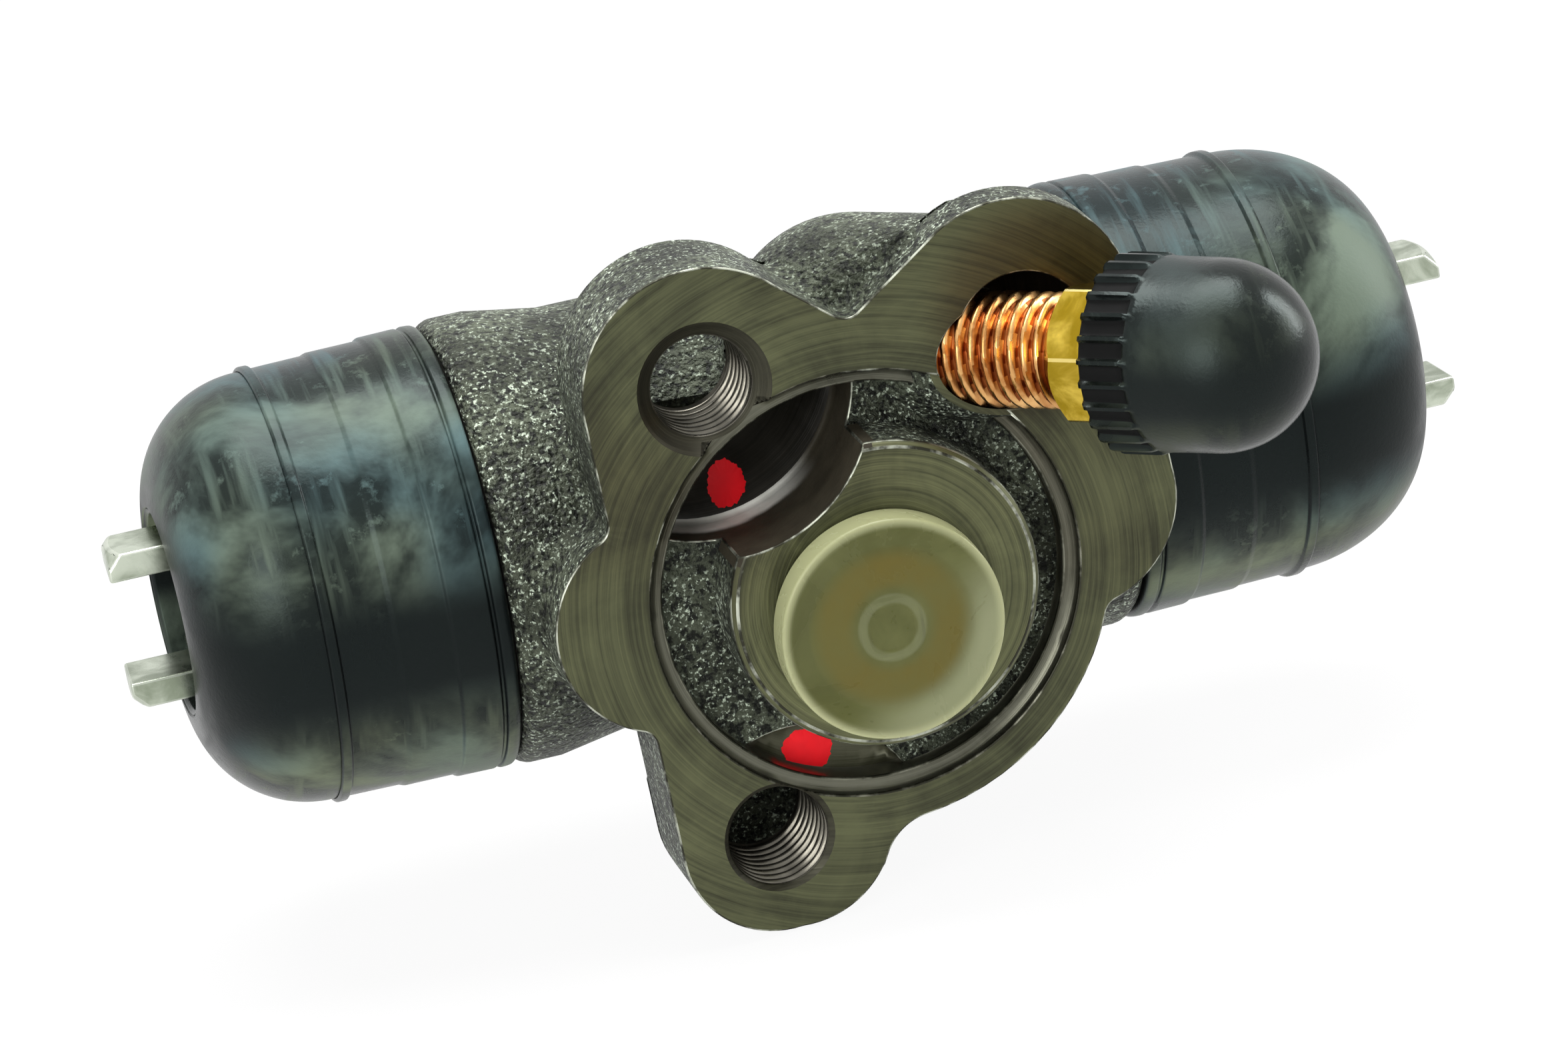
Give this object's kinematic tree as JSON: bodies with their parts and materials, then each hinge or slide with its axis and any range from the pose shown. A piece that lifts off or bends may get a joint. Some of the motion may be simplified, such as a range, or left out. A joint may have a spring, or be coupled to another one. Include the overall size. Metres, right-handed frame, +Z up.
{
  "type": "wheel cylinder",
  "caption": "Drum brake wheel cylinder: cast body with a lobed mounting flange and pilot boss, opposed slotted pistons in dust boots, an angled bleed screw with its cap, and a plugged inlet.",
  "frame": {"origin": "pilot boss axis, in the plane of the mounting face", "axes": "+X along the bore, -Y out of the mounting face, +Z up on the mounted part"},
  "size_m": [0.1193, 0.0657, 0.0588],
  "materials": {
    "cast_iron": "rough cast, with a turned face",
    "piston_alloy": "turned",
    "rubber": "moulded, faint sheen",
    "spring_steel": "drawn",
    "zinc_steel": "yellow zinc plate",
    "plug_plastic": "translucent moulded"
  },
  "bodies": {
    "cylinder": {"cylinder_body": "cast_iron", "return_spring": "spring_steel", "left_dust_boot": "rubber", "right_dust_boot": "rubber"},
    "left_piston_unit": {"left_piston": "piston_alloy", "left_cup_seal": "rubber", "left_cup_expander": "spring_steel"},
    "right_piston_unit": {"right_piston": "piston_alloy", "right_cup_seal": "rubber", "right_cup_expander": "spring_steel"},
    "bleeder": {"bleed_screw": "zinc_steel"},
    "bleeder_cap": {"bleed_screw_cap": "rubber"},
    "port_plug": {"inlet_plug": "plug_plastic"}
  },
  "joints": [
    {"name": "left_piston_slide", "type": "slide", "parent": "cylinder", "child": "left_piston_unit", "axis": [-1, 0, 0], "range_m": [-0.003, 0.006], "deforming": ["left_dust_boot", "return_spring"]},
    {"name": "right_piston_slide", "type": "slide", "parent": "cylinder", "child": "right_piston_unit", "axis": [1, 0, 0], "range_m": [-0.003, 0.006], "deforming": ["right_dust_boot", "return_spring"]},
    {"name": "bleed_screw_turn", "type": "hinge", "parent": "cylinder", "child": "bleeder", "pos_m": [0.0151, 0, 0.0173], "axis": [0.7071, -0.7071, 0], "range_deg": [0, 360]},
    {"name": "bleed_cap_pull", "type": "slide", "parent": "bleeder", "child": "bleeder_cap", "axis": [0.7071, -0.7071, 0], "range_m": [0, 0.014]},
    {"name": "inlet_plug_pull", "type": "slide", "parent": "cylinder", "child": "port_plug", "axis": [0, -1, 0], "range_m": [0, 0.012]}
  ]
}
